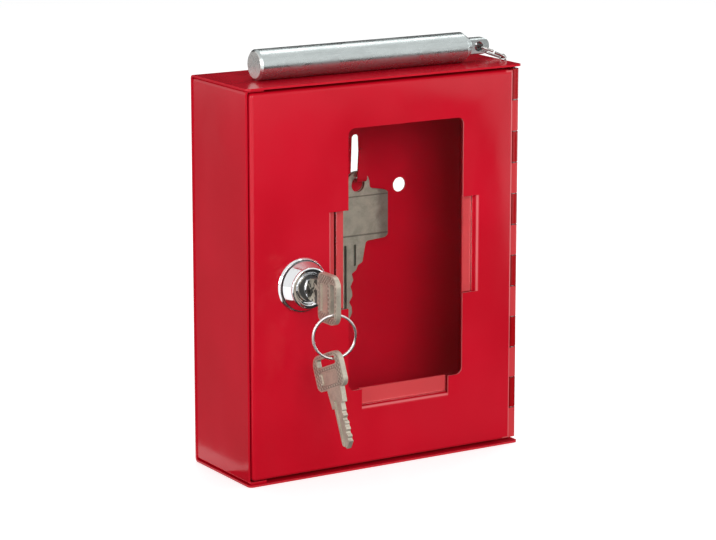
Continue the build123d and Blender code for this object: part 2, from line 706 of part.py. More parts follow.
def make_hammer():
    """Striker rod on its side: chamfered end, coned shoulder, and a flatted tongue with an eye."""
    profile = outline(
        [
            (ROD_X0, 0, 0),
            (ROD_X0, ROD_R - 0.9, 0),
            (ROD_X0 + 0.9, ROD_R, 0),
            (ROD_SHOULDER_X, ROD_R, 0.6),
            (NECK_X, NECK_R, 0.4),
            (ROD_X1, NECK_R, 0),
            (ROD_X1, 0, 0),
        ]
    )
    rod = Pos(0, ROD_Y, ROD_Z) * revolve(profile, Axis.X)
    for side in (-1, 1):
        off = Pos(NECK_X + 10, ROD_Y + side * (TONGUE / 2 + 5), ROD_Z) * Box(20, 10, 20)
        rod -= off
    end = disc(ROD_X1 - NECK_R, ROD_Z, NECK_R) + rectangle(
        ROD_X0 - 1, ROD_Z - ROD_R - 1, ROD_X1 - NECK_R, ROD_Z + ROD_R + 1
    )
    rod &= prism(end, "Y", ROD_Y - ROD_R - 1, ROD_Y + ROD_R + 1)
    return rod - prism(disc(EYE_X, ROD_Z, EYE_R), "Y", ROD_Y - 10, ROD_Y + 10)


def tether_direction():
    lean = radians(TETHER_DROP)
    return Vector(cos(lean), 0, -sin(lean))


def tether_pivot():
    """Centre of the tether ring's wire where the chain's first link hangs."""
    return Vector(EYE_X, ROD_Y, ROD_Z) + tether_direction() * (TETHER_SEAT + 2 * TETHER_RING_R)


def make_hammer_ring():
    along = tether_direction()
    centre = Vector(EYE_X, ROD_Y, ROD_Z) + along * (TETHER_SEAT + TETHER_RING_R)
    place = Plane(origin=centre, x_dir=along, z_dir=along.cross(Vector(0, 1, 0)))
    return place.location * Torus(TETHER_RING_R, TETHER_WIRE_R)


def chain_x():
    return tether_pivot().X + LINK_SIDE_PLAY


def link_pitch():
    return LINK_STRAIGHT + 2 * (LINK_BEND_R - LINK_WIRE_R - LINK_PLAY)


def make_link():
    """One oval link standing in the XZ plane, its top bend's centre at the origin."""
    low = -LINK_STRAIGHT
    r = LINK_BEND_R
    loop = Line((-r, 0, 0), (-r, 0, low))
    loop += CenterArc((0, 0, 0), r, 0, 180).moved(Location(Plane.XZ))
    loop += Line((r, 0, 0), (r, 0, low))
    loop += CenterArc((0, low, 0), r, 180, 180).moved(Location(Plane.XZ))
    start = Plane(origin=(-r, 0, low / 2), z_dir=(0, 0, 1))
    return sweep(start * Circle(LINK_WIRE_R), path=Wire(loop.edges()))


def chain_start_z():
    """Height of the first link's upper bend, seated under the tether ring's wire."""
    return tether_pivot().Z - LINK_BEND_R + LINK_WIRE_R + TETHER_WIRE_R + 2 * LINK_PLAY


def make_hammer_chain():
    """Links hanging from the tether ring, each turned a quarter from the one above."""
    links = []
    for index in range(LINKS):
        turn = Rot(0, 0, 0) if index % 2 == 0 else Rot(0, 0, 90)
        place = Pos(chain_x(), ROD_Y, chain_start_z() - index * link_pitch())
        links.append(place * turn * make_link())
    return Compound(links)


def anchor_place():
    """Centre of the rivet, inside the last link's lower bend."""
    last_bend = chain_start_z() - (LINKS - 1) * link_pitch() - LINK_STRAIGHT
    return chain_x(), ROD_Y, last_bend - LINK_BEND_R + LINK_WIRE_R + RIVET_R + 0.08


def make_chain_anchor():
    """Headed rivet through the right side panel, peened over inside."""
    x, y, z = anchor_place()
    inside = RIGHT_X - SHEET
    rivet = prism(disc(y, z, RIVET_R), "X", inside - 0.7, x + 1.6)
    rivet += prism(disc(y, z, RIVET_HEAD_R), "X", x + 1.0, x + 1.9)
    rivet += prism(disc(y, z, 1.5), "X", inside - 0.7, inside)
    return rivet


SUB_PARTS = {
    "back_shell": make_back_shell,
    "left_side_panel": make_left_side_panel,
    "right_side_panel": make_right_side_panel,
    "catch_bracket": make_catch_bracket,
    "hinge_pin": make_hinge_pin,
    "door_panel": make_door_panel,
    "glass_pane": make_glass_pane,
    "lock_housing": make_lock_housing,
    "lock_washer": make_lock_washer,
    "lock_nut": make_lock_nut,
    "lock_plug": make_lock_plug,
    "lock_wafers": make_lock_wafers,
    "lock_cam": make_lock_cam,
    "cam_washer": make_cam_washer,
    "cam_screw": make_cam_screw,
    "lock_key": make_lock_key,
    "key_ring": make_key_ring,
    "spare_key": make_spare_key,
    "stored_key": make_stored_key,
    "hammer": make_hammer,
    "hammer_ring": make_hammer_ring,
    "hammer_chain": make_hammer_chain,
    "chain_anchor": make_chain_anchor,
}

os.makedirs("parts", exist_ok=True)
for name, make in SUB_PARTS.items():
    export_step(make(), f"parts/{name}.step")
print("hinge axis", HINGE_X, round(HINGE_Y, 3), "lock axis", LOCK_X, LOCK_Z)
print("ring top", ring_top(), "ring bottom", ring_bottom(), "tether pivot", tether_pivot())
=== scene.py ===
"""Break glass key box: the looks of a red sheet steel key box with a cam lock, a pane, keys and a striker.

Lengths in the shapes below are millimetres in the frame of the model, and MM turns them into metres when a
mesh is made. The front faces -Y, +X is the viewer's right and +Z is up.
"""

import json
from math import cos, pi, radians, sin

import bmesh
import bpy
import numpy as np
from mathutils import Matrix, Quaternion, Vector

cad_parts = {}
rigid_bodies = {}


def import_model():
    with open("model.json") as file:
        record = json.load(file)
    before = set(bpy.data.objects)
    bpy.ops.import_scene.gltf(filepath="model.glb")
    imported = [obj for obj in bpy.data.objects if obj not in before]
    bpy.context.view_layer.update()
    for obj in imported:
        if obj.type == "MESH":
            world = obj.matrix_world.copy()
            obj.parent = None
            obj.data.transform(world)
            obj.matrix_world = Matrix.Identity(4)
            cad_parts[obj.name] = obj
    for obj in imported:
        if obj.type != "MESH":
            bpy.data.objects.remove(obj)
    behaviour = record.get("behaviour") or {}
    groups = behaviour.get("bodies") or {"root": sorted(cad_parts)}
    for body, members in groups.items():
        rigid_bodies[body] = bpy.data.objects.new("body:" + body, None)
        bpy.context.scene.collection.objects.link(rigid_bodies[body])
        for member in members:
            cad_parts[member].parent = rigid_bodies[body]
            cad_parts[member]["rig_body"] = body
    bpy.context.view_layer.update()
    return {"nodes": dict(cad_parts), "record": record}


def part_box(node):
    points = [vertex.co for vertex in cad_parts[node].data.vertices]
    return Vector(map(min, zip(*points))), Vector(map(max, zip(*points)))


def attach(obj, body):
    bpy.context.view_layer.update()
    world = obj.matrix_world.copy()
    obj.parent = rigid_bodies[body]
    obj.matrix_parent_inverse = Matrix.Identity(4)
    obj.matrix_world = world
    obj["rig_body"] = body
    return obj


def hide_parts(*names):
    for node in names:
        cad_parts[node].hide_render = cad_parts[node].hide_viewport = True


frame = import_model()

MM = 0.001
TURN = 2 * pi

# Photograph
VIEW_AZIMUTH = -31.4
VIEW_ELEVATION = 12.5
LENS = 144.5
CAMERA_DISTANCE = 1.139
LOOK_AT = (-0.0003, 0.0, 0.0747)


# Bow of the small keys, the one in the lock and the one on the ring
BOW_WIDTH, BOW_LENGTH = 19.2, 13.8


def size_of(node):
    """Lowest and highest corner of a node, in millimetres, as arrays."""
    low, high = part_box(node)
    return np.array(low) / MM, np.array(high) / MM


# ---------------------------------------------------------------- finishes


class Finish:
    """A material under construction: its shader, its tree, and short ways to add nodes to it."""

    def __init__(self, name):
        self.material = bpy.data.materials.new(name)
        self.material.use_nodes = True
        self.tree = self.material.node_tree
        self.shader = self.tree.nodes["Principled BSDF"]
        self.place = self.tree.nodes.new("ShaderNodeTexCoord").outputs["Object"]

    def set(self, **values):
        for name, value in values.items():
            self.shader.inputs[name.replace("_", " ")].default_value = value

    def node(self, kind, inputs=(), **settings):
        """New node with settings, and inputs given as (name or index, value or output socket)."""
        made = self.tree.nodes.new(kind)
        for name, value in settings.items():
            setattr(made, name, value)
        for name, value in inputs:
            self.feed(made.inputs[name], value)
        return made

    def feed(self, socket, value):
        if isinstance(value, bpy.types.NodeSocket):
            self.tree.links.new(value, socket)
        else:
            socket.default_value = value

    def drawn(self, scale, turn=(0, 0, 0)):
        """Object coordinates stretched by a scale for each axis, per metre, after a turn."""
        inputs = [("Vector", self.place), ("Scale", scale), ("Rotation", turn)]
        return self.node("ShaderNodeMapping", inputs).outputs[0]

    def noise(self, scale, detail=3.0, roughness=0.5, distortion=0.0):
        """Noise with that many cells per metre, along each axis if scale is a triple."""
        triple = scale if isinstance(scale, tuple) else (scale,) * 3
        inputs = [("Vector", self.drawn(triple)), ("Scale", 1.0), ("Detail", detail)]
        inputs += [("Roughness", roughness), ("Distortion", distortion)]
        return self.node("ShaderNodeTexNoise", inputs).outputs["Fac"]

    def remap(self, value, low, high, to_low, to_high):
        """Value carried from one range to another, smoothly and held at the ends."""
        inputs = [("Value", value), ("From Min", low), ("From Max", high)]
        inputs += [("To Min", to_low), ("To Max", to_high)]
        return self.node("ShaderNodeMapRange", inputs, interpolation_type="SMOOTHSTEP").outputs[0]

    def band(self, value, start, full, fade, end):
        """0 up to start, 1 from full to fade, and 0 again from end on."""
        return self.math("MULTIPLY", self.remap(value, start, full, 0, 1), self.remap(value, fade, end, 1, 0))

    def blend(self, factor, first, second):
        inputs = [("Factor", factor), (6, first), (7, second)]
        return self.node("ShaderNodeMix", inputs, data_type="RGBA").outputs[2]

    def axes(self):
        """Object coordinates x, y and z, each on its own."""
        return self.node("ShaderNodeSeparateXYZ", [(0, self.place)]).outputs

    def math(self, operation, first, second=0.0):
        return self.node("ShaderNodeMath", [(0, first), (1, second)], operation=operation).outputs[0]

    def bump(self, height, depth, strength=1.0, under=None):
        """Bump of a height from 0 to 1 that stands for a depth in metres, over another normal."""
        inputs = [("Height", height), ("Distance", depth), ("Strength", strength)]
        if under is not None:
            inputs.append(("Normal", under))
        return self.node("ShaderNodeBump", inputs).outputs["Normal"]

    def finish(self, colour=None, roughness=None, normal=None):
        for name, socket in (("Base Color", colour), ("Roughness", roughness), ("Normal", normal)):
            if socket is not None:
                self.feed(self.shader.inputs[name], socket)
        return self.material


def red_paint(name="red_powder_coat", rub=None):
    """Glossy powder coat: orange peel, slow drift of tone, faint handling haze and tiny pinholes.

    A rub is a function that paints light or shade into the coat in places on one piece.
    """
    f = Finish(name)
    f.set(IOR=1.37)
    drift = f.noise(22.0, 2.0)
    colour = f.blend(f.remap(drift, 0.3, 0.7, 0.0, 1.0), (0.565, 0.0035, 0.0165, 1), (0.635, 0.0055, 0.022, 1))
    fleck = f.remap(f.noise(2600.0, 2.0), 0.66, 0.74, 0.0, 0.22)
    colour = f.blend(fleck, colour, (0.36, 0.002, 0.010, 1))
    if rub:
        # the rub paints highlight or shade into the coat's colour
        colour = rub(f, colour)
    haze = f.remap(f.noise((60.0, 60.0, 26.0), 4.0, 0.6, 0.6), 0.35, 0.72, 0.13, 0.21)
    grain = f.math("MULTIPLY", f.noise(1400.0, 2.0), 0.05)
    peel = f.bump(f.noise(620.0, 2.0, 0.4), 0.00004, 0.32)
    return f.finish(colour, f.math("ADD", haze, grain), f.bump(f.noise(2600.0, 2.0), 0.000008, 0.3, peel))


# Places on the door and its hinge, in metres as Object coordinates are; a depth is behind the door's face
DOOR_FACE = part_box("door_panel")[0][1]
TAB_FLATS = (0.0026, 0.0030, 0.0032, 0.0036)  # depths round the front of the pane tabs' flats
TABS_END = (0.046, 0.048)
BENDS = (0.00005, 0.00025, 0.0005, 0.0009)  # depths at which the sheet turns back from the face
DOOR_MIDDLE = 0.0775
RIM_WITHOUT_HIGHLIGHT = (0.068, 0.070)  # above and below the middle
LEFT_WITHOUT_HIGHLIGHT = (-0.032, -0.030)
HINGE_EDGE = (0.055, 0.056)
HINGE_COLUMN = (0.0585, 0.0588)
KNUCKLE_BACK = [DOOR_FACE + depth for depth in (0.0040, 0.0044)]


def door_sheen_and_highlights(f, colour):
    """Painted sheen on the pane tabs' flats and the knuckles, and painted highlights where the sheet turns back
    from the face.

    The rim bends at the door's left, top and bottom get no painted highlight and keep their tone.
    """
    x, y, z = f.axes()
    depth = f.math("SUBTRACT", y, DOOR_FACE)
    flats = f.math("MULTIPLY", f.band(depth, *TAB_FLATS), f.remap(x, *TABS_END, 1.0, 0.0))
    column = f.remap(x, *HINGE_COLUMN, 0.0, 1.0)
    sheen = f.math("MAXIMUM", flats, f.math("MULTIPLY", column, 0.75))
    # painted sheen: a paler tone on the tab flats and knuckles stands for reflected light
    colour = f.blend(sheen, colour, (0.67, 0.062, 0.070, 1))
    off_middle = f.math("ABSOLUTE", f.math("SUBTRACT", z, DOOR_MIDDLE))
    inside = f.math(
        "MULTIPLY", f.remap(off_middle, *RIM_WITHOUT_HIGHLIGHT, 1.0, 0.0), f.remap(x, *LEFT_WITHOUT_HIGHLIGHT, 0.0, 1.0)
    )
    inside = f.math("MAXIMUM", inside, f.remap(x, *HINGE_EDGE, 0.0, 1.0))
    # painted highlight along the bends where the sheet turns back from the face
    bend = f.math("MULTIPLY", f.band(depth, *BENDS), inside)
    bend = f.math("MULTIPLY", bend, f.math("SUBTRACT", 1.0, column))
    return f.blend(f.math("MULTIPLY", bend, 0.7), colour, (0.84, 0.20, 0.21, 1))


def shaded_knuckles(f, colour):
    """Painted shade: a deeper tone on the side panel's rolled knuckles, for the dark that they mirror."""
    x, y, _ = f.axes()
    rolled = f.math("MULTIPLY", f.remap(x, *HINGE_COLUMN, 0.0, 1.0), f.remap(y, *KNUCKLE_BACK, 1.0, 0.0))
    # painted shade on the knuckles
    return f.blend(rolled, colour, (0.40, 0.001, 0.005, 1))


def metal(name, light, dark, low, high, stretch, grain, depth):
    """Metal with two tones in slow patches, and fine marks drawn out along one direction."""
    f = Finish(name)
    f.set(Metallic=1.0)
    patch = f.remap(f.noise(170.0, 4.0, 0.6, 0.4), 0.36, 0.66, 0.0, 1.0)
    marks = f.noise(tuple(grain * s for s in stretch), 5.0, 0.65)
    colour = f.blend(patch, light, dark)
    colour = f.blend(f.remap(marks, 0.45, 0.75, 0.0, 0.45), colour, dark)
    wear = f.math("ADD", f.math("MULTIPLY", patch, 0.5), f.math("MULTIPLY", marks, 0.6))
    rough = f.remap(wear, 0.3, 0.9, low, high)
    return f.finish(colour, rough, f.bump(marks, depth, 0.5))


ROD_END_FACE = [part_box("hammer")[0][0] + step for step in (0.0001, 0.0004)]


def rod_zinc():
    """Zinc plated rod: spangled patches, drawn lines along the rod, short dark rubs and a paler end face."""
    f = Finish("zinc_plated_rod")
    f.set(Metallic=0.96)
    patch = f.remap(f.noise((120.0, 300.0, 300.0), 5.0, 0.7, 0.8), 0.34, 0.68, 0.0, 1.0)
    drawn = f.noise((45.0, 1500.0, 1500.0), 4.0, 0.6)
    rub = f.remap(f.noise((240.0, 900.0, 900.0), 5.0, 0.7, 0.3), 0.60, 0.72, 0.0, 0.55)
    colour = f.blend(patch, (0.55, 0.60, 0.595, 1), (0.44, 0.48, 0.475, 1))
    colour = f.blend(f.remap(drawn, 0.5, 0.8, 0.0, 0.5), colour, (0.29, 0.32, 0.33, 1))
    colour = f.blend(rub, colour, (0.20, 0.22, 0.23, 1))
    colour = f.blend(f.remap(f.axes()["X"], *ROD_END_FACE, 1.0, 0.0), colour, (0.60, 0.60, 0.58, 1))
    rough = f.math("ADD", f.remap(patch, 0.0, 1.0, 0.24, 0.36), f.math("MULTIPLY", rub, 0.2))
    return f.finish(colour, rough, f.bump(drawn, 0.00002, 0.3, f.bump(patch, 0.00002, 0.25)))


def lock_chrome(name="bright_chrome", groove_shaded=False):
    """Bright chrome with a trace of polishing waves and faint wipe marks; painted shade, near black and rougher,
    where its attribute is 1.
    """
    f = Finish(name)
    f.set(Metallic=1.0)
    wave = f.noise(330.0, 2.0)
    wipe = f.noise((900.0, 900.0, 140.0), 4.0, 0.6)
    colour = f.blend(f.remap(wipe, 0.5, 0.8, 0.0, 0.5), (0.80, 0.81, 0.82, 1), (0.62, 0.62, 0.63, 1))
    rough = f.remap(wipe, 0.4, 0.8, 0.035, 0.13)
    if groove_shaded:
        recess_shade = f.node("ShaderNodeAttribute", attribute_name="recess_shade").outputs["Fac"]
        # painted shade: near black where the attribute marks a shaded recess
        colour = f.blend(recess_shade, colour, (0.012, 0.012, 0.012, 1))
        rough = f.math("ADD", rough, f.math("MULTIPLY", recess_shade, 0.5))
    return f.finish(colour, rough, f.bump(wave, 0.00003, 0.35))


# Places on the keys, in metres as Object coordinates are
STORED_PANEL_EDGES = (0.1002, 0.0842)
STORED_EDGE_LINE = 0.0005
STORED_GROOVE_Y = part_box("stored_key")[0][1] + 0.0008
STORED_GROOVE_HALF = (0.0003, 0.0005)
STORED_DARK_REFLECTION = (0.0205, 0.0240)
LOCK_KEY_BOW_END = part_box("lock_key")[0][1] + BOW_LENGTH * MM
NECK_FADE, NECK_END_FADE = 0.0008, 0.0005


def key_nickel(name="key_nickel_silver", knurled=False, stored=False, neck=None):
    """Dull nickel silver: sandy tumbled grain, warm and cool patches, and painted shade in the low spots.

    On a knurled piece its ridge attribute, 0 in the grooves and 1 on the crests, paints shade into the grooves.
    The stored key gets painted shade in its blade's grooves and along the two edges of its panel, and a patchy
    painted dark reflection over the right of its bow. A neck is where, along y, the short stretch of spotty
    painted shadow behind the bow begins and ends.
    """
    f = Finish(name)
    f.set(Metallic=0.60)
    patch = f.remap(f.noise(260.0, 4.0, 0.6), 0.35, 0.68, 0.0, 1.0)
    sand = f.noise(2400.0, 4.0, 0.7)
    colour = f.blend(patch, (0.60, 0.545, 0.445, 1), (0.47, 0.425, 0.345, 1))
    colour = f.blend(f.remap(sand, 0.52, 0.74, 0.0, 0.5), colour, (0.22, 0.18, 0.145, 1))
    if knurled:
        ridge = f.node("ShaderNodeAttribute", attribute_name="ridge").outputs["Fac"]
        # painted shade in the knurl's grooves
        colour = f.blend(f.remap(ridge, 0.3, 0.8, 0.6, 0.0), colour, (0.10, 0.08, 0.065, 1))
    if stored:
        x, y, z = f.axes()
        # painted shade along the two step edges of the bow's panel
        for height in STORED_PANEL_EDGES:
            off = f.math("ABSOLUTE", f.math("SUBTRACT", z, height))
            colour = f.blend(f.remap(off, 0.0, STORED_EDGE_LINE, 0.75, 0.0), colour, (0.07, 0.055, 0.045, 1))
        # painted shade in the blade's groove
        deep = f.math("ABSOLUTE", f.math("SUBTRACT", y, STORED_GROOVE_Y))
        colour = f.blend(f.remap(deep, *STORED_GROOVE_HALF, 0.85, 0.0), colour, (0.05, 0.045, 0.035, 1))
        # painted dark reflection, patchy, over the right of the bow
        right = f.math("ADD", x, f.math("MULTIPLY", f.noise(300.0, 3.0), 0.004))
        colour = f.blend(f.remap(right, *STORED_DARK_REFLECTION, 0.0, 0.62), colour, (0.14, 0.095, 0.085, 1))
    if neck:
        # painted shadow, in spots, on the neck just behind the bow
        spots = f.remap(f.noise(420.0, 1.0), 0.50, 0.56, 1.0, 0.0)
        start, end = neck
        stretch = f.band(f.axes()["Y"], start, start + NECK_FADE, end - NECK_END_FADE, end)
        spots = f.math("MULTIPLY", f.math("MULTIPLY", stretch, 0.9), spots)
        colour = f.blend(spots, colour, (0.012, 0.010, 0.008, 1))
    rough = f.remap(sand, 0.3, 0.7, 0.34, 0.50)
    return f.finish(colour, rough, f.bump(sand, 0.00003, 0.45))


def ring_steel():
    return metal(
        "bright_ring_wire", (0.90, 0.86, 0.84, 1), (0.72, 0.68, 0.67, 1), 0.24, 0.36, (1, 1, 1), 900.0, 0.00001
    )


def zinc_plate():
    """Bright zinc on stamped and turned pieces, with the faint blue and straw of its passivation."""
    return metal(
        "bright_zinc", (0.66, 0.68, 0.70, 1), (0.50, 0.50, 0.46, 1), 0.20, 0.38, (1, 3, 1), 500.0, 0.00002
    )


def pin_steel():
    return metal(
        "drawn_pin_steel", (0.42, 0.41, 0.40, 1), (0.25, 0.24, 0.23, 1), 0.30, 0.45, (4, 4, 0.2), 700.0, 0.00002
    )


def wafer_brass():
    return metal(
        "blanked_brass", (0.72, 0.52, 0.22, 1), (0.50, 0.34, 0.13, 1), 0.25, 0.42, (1, 4, 1), 600.0, 0.00001
    )


def clear_glass():
    """Clear pane that lets the lamps through, with a faint film that only shows in its gloss."""
    f = Finish("clear_pane")
    f.set(Base_Color=(0.955, 0.985, 0.975, 1), IOR=1.45, Transmission_Weight=1.0)
    film = f.remap(f.noise((40.0, 40.0, 70.0), 4.0, 0.6, 1.0), 0.45, 0.75, 0.0, 0.025)
    f.finish(roughness=film)
    clear = f.node("ShaderNodeBsdfTransparent", [("Color", (0.93, 0.95, 0.945, 1))])
    path = f.node("ShaderNodeLightPath")
    inputs = [(0, path.outputs["Is Shadow Ray"]), (1, f.shader.outputs[0]), (2, clear.outputs[0])]
    mix = f.node("ShaderNodeMixShader", inputs)
    f.feed(f.tree.nodes["Material Output"].inputs["Surface"], mix.outputs[0])
    return f.material


FINISHES = {
    "red_paint": red_paint,
    "pin_steel": pin_steel,
    "clear_glass": clear_glass,
    "lock_chrome": lock_chrome,
    "zinc_plate": zinc_plate,
    "wafer_brass": wafer_brass,
    "key_nickel": key_nickel,
    "ring_steel": ring_steel,
    "rod_zinc": rod_zinc,
}
MATERIALS = {slot: make() for slot, make in FINISHES.items()}
KNURL = key_nickel("knurled_nickel_silver", knurled=True)
SHADED_STORED_KEY = key_nickel("nickel_silver_painted_shade", stored=True)
NECK_SHADOW_KEY = key_nickel("nickel_silver_neck_shadow", neck=(LOCK_KEY_BOW_END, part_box("lock_plug")[0][1]))
DOOR_SHEEN_PAINT = red_paint("powder_coat_painted_sheen", door_sheen_and_highlights)
SHADED_PANEL = red_paint("powder_coat_knuckle_shade", shaded_knuckles)
TETHER_STEEL = metal(
    "grey_tether_wire", (0.42, 0.41, 0.40, 1), (0.24, 0.23, 0.22, 1), 0.22, 0.36, (1, 1, 1), 900.0, 0.00001
)
GROOVE_SHADE_CHROME = lock_chrome("chrome_painted_groove_shade", groove_shaded=True)
SLOT_OF = {part["node"]: part["material_slot"] for part in frame["record"]["subparts"]}


# ---------------------------------------------------------------- shapes


def quads(rows, columns, close_rows=False, close_columns=False):
    """Corner numbers of the cells of a grid whose points run row by row, joined end to start if closed."""
    i = np.arange(rows if close_rows else rows - 1)[:, None]
    j = np.arange(columns if close_columns else columns - 1)[None, :]
    below, beside = (i + 1) % rows, (j + 1) % columns
    cells = [i * columns + j, i * columns + beside, below * columns + beside, below * columns + j]
    return np.stack(np.broadcast_arrays(*cells), -1).reshape(-1, 4)


def piece(name, points, faces, body, slot, replaces=(), crease=40.0):
    """Mesh piece from points in millimetres, shaded smooth except over sharp edges."""
    mesh = bpy.data.meshes.new(name)
    mesh.from_pydata(np.reshape(points, (-1, 3)) * MM, [], [list(face) for face in faces])
    return dress(bpy.data.objects.new(name, mesh), body, slot, replaces, crease)


def dress(made, body, slot, replaces=(), crease=40.0):
    """Gives a piece its place in the scene, its shading, its finish and the body that it rides on."""
    mesh = made.data
    bpy.context.scene.collection.objects.link(made)
    mesh.materials.clear()
    mesh.materials.append(MATERIALS[slot])
    mesh.shade_smooth()
    mesh.set_sharp_from_angle(angle=radians(crease))
    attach(made, body)
    if replaces:
        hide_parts(*replaces)
    return made


def rounded(node, name, width, segments=2, limit=28.0):
    """Copy of a node with its sharp edges rounded over a width in millimetres; it stands for the node.

    The copy's loose triangles are merged, and those that lie in one plane are joined, before the bevel.
    """
    source = frame["nodes"][node]
    mesh = source.data.copy()
    mesh.name = name
    work = bmesh.new()
    work.from_mesh(mesh)
    bmesh.ops.remove_doubles(work, verts=work.verts, dist=2e-6)
    bmesh.ops.dissolve_limit(work, angle_limit=radians(0.6), verts=work.verts, edges=work.edges)
    work.to_mesh(mesh)
    work.free()
    for stale in ("custom_normal", "sharp_edge", "sharp_face"):
        if stale in mesh.attributes:
            mesh.attributes.remove(mesh.attributes[stale])
    made = bpy.data.objects.new(name, mesh)
    dress(made, source["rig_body"], SLOT_OF[node], (node,))
    bevel = made.modifiers.new("rounded edges", "BEVEL")
    bevel.width = width * MM
    bevel.segments = segments
    bevel.limit_method = "ANGLE"
    bevel.angle_limit = radians(limit)
    bevel.harden_normals = True
    return made


def skin(centres, sides, across, section, closed=True):
    """Skin around a path: every centre plus one closed section, drawn in two directions square to the path.

    centres, sides and across are (n, 3) and the section is (m, 2). An open path gets a flat face at each end.
    """
    points = centres[:, None] + sides[:, None] * section[None, :, :1] + across[:, None] * section[None, :, 1:]
    rows, columns = points.shape[:2]
    faces = quads(rows, columns, closed, True).tolist()
    if not closed:
        faces += [list(range(columns))[::-1], list(range((rows - 1) * columns, rows * columns))]
    return points.reshape(-1, 3), faces


def oval(half_across, half_along, count, power=1.0):
    """Closed section: cosine and sine of the angle, each raised to a power that squares the oval up below 1."""
    angle = np.linspace(0, TURN, count, endpoint=False)
    c, s = np.cos(angle), np.sin(angle)
    a = np.sign(c) * np.abs(c) ** power * half_across
    b = np.sign(s) * np.abs(s) ** power * half_along
    return np.stack([a, b], 1)


def rounded_line(corners, closed=True, steps=5):
    """Points of a polyline of (a, b, radius), each corner replaced by an arc that touches both its sides."""
    at = np.array([c[:2] for c in corners], float)
    out = []
    for k, (_, _, radius) in enumerate(corners):
        ends = not closed and k in (0, len(corners) - 1)
        if radius == 0 or ends:
            out.append(at[k][None])
            continue
        before = at[k - 1] - at[k]
        after = at[(k + 1) % len(corners)] - at[k]
        before /= np.linalg.norm(before)
        after /= np.linalg.norm(after)
        half = np.arccos(np.clip(before @ after, -1, 1)) / 2
        centre = at[k] + (before + after) / np.linalg.norm(before + after) * radius / np.sin(half)
        start = at[k] + before * radius / np.tan(half) - centre
        end = at[k] + after * radius / np.tan(half) - centre
        share = np.linspace(0, 1, steps)[:, None]
        sweep = pi - 2 * half
        out.append(centre + (start * np.sin((1 - share) * sweep) + end * np.sin(share * sweep)) / np.sin(sweep))
    return np.concatenate(out)


def smooth(x):
    """Smooth step: 0 up to 0, 1 from 1 on, and 3x^2 - 2x^3 between."""
    x = np.clip(x, 0, 1)
    return x * x * (3 - 2 * x)


# ---------------------------------------------------------------- cam lock

LOCK_LOW, LOCK_HIGH = size_of("lock_housing")
LOCK_X, LOCK_Z = (LOCK_LOW[[0, 2]] + LOCK_HIGH[[0, 2]]) / 2
DOOR_FACE_Y = size_of("door_panel")[0][1]
PLUG_FACE_Y = size_of("lock_plug")[0][1]
PLUG_R = 5.45
BORE_R = 5.5
FLANGE_R = (LOCK_HIGH[0] - LOCK_LOW[0]) / 2
FLANGE_EDGE = 0.25
BEVEL_R, BEVEL = 10.22, 0.75
GROOVE_R, GROOVE = 9.4, 0.75
CONE_R0, CONE_R1 = 9.7, 7.25
CONE_LENGTH = 3.5
LIP_R, LIP = 8.15, 0.85
BARREL_R = 8.0
BARREL_FLAT = 6.9
THREAD_PITCH = 1.0
THREAD_DEPTH = 0.45
THREAD_END = 0.8  # plain lengths before and after the thread


def lock_body():
    """Lock housing turned about its axis: bevel, groove with painted shade, cone to a waist, lip, thread behind
    the door.

    A closed profile of radius and depth is carried round the axis. Along the barrel the radius drops by the
    thread's depth times half of one minus the cosine of (turns along the pitch less the angle), faded out at
    both ends, and x is held within the two flats. An attribute set inside the groove paints shade there: a
    quarter stays all round and the rest falls with the square of the cosine of half the angle from the left.
    """
    face, back = DOOR_FACE_Y, LOCK_HIGH[1]
    front = LOCK_LOW[1]
    foot = face - FLANGE_EDGE - BEVEL
    outside = [
        (BORE_R, PLUG_FACE_Y + 0.6, 0),
        (BORE_R, PLUG_FACE_Y, 0.15),
        (LIP_R - 2.2, PLUG_FACE_Y - 0.1, 0.2),
        (LIP_R - 1.6, front, 0.45),
        (LIP_R, front, 0.6),
        (LIP_R, front + LIP, 0.15),
        (CONE_R1, foot - GROOVE - CONE_LENGTH, 0.3),
        (CONE_R0, foot - GROOVE, 0.08),
        (GROOVE_R, foot - GROOVE, 0.08),
        (GROOVE_R, foot, 0.12),
        (BEVEL_R, foot, 0.12),
        (FLANGE_R, face - FLANGE_EDGE, 0.1),
        (FLANGE_R, face, 0),
        (BARREL_R, face, 0),
    ]
    profile = rounded_line(outside, closed=False, steps=7)
    rows = int((back - face) / THREAD_PITCH * 9)
    barrel = np.stack([np.full(rows, BARREL_R), np.linspace(face + 0.05, back - 0.4, rows)], 1)
    tail = np.array([(BARREL_R - 0.4, back), (BORE_R, back), (BORE_R, (back + front) / 2)])
    profile = np.concatenate([profile, barrel, tail])
    angle = np.linspace(0, TURN, 144, endpoint=False)[None, :]
    radius, y = profile[:, :1], profile[:, 1:]
    on_barrel = (y > face) & (radius > BARREL_R - 0.5)
    fade = smooth((y - face - THREAD_END) / THREAD_END) * smooth((back - THREAD_END / 2 - y) / THREAD_END)
    wave = 0.5 - 0.5 * np.cos(TURN * y / THREAD_PITCH - angle)
    radius = radius - THREAD_DEPTH * wave * fade * on_barrel
    x = radius * np.cos(angle)
    x = np.where(on_barrel, np.clip(x, -BARREL_FLAT, BARREL_FLAT), x)
    z = radius * np.sin(angle)
    points = np.stack([x + LOCK_X, np.broadcast_to(y, x.shape), z + LOCK_Z], -1)
    faces = quads(*points.shape[:2], True, True)
    in_groove = (y < foot + 0.01) & (y > foot - GROOVE - 0.01) & (profile[:, :1] < BEVEL_R - 0.1)
    made = piece("lock_body", points, faces, "door", "lock_chrome", ("lock_housing",))
    made.data.materials[0] = GROOVE_SHADE_CHROME
    recess_shade = made.data.attributes.new("recess_shade", "FLOAT", "POINT")
    # painted shade in the groove, darkest on the left
    shade_level = in_groove * (0.25 + 0.75 * np.cos((angle - pi) / 2) ** 2)
    recess_shade.data.foreach_set("value", shade_level.ravel().astype(np.float32))
    return made


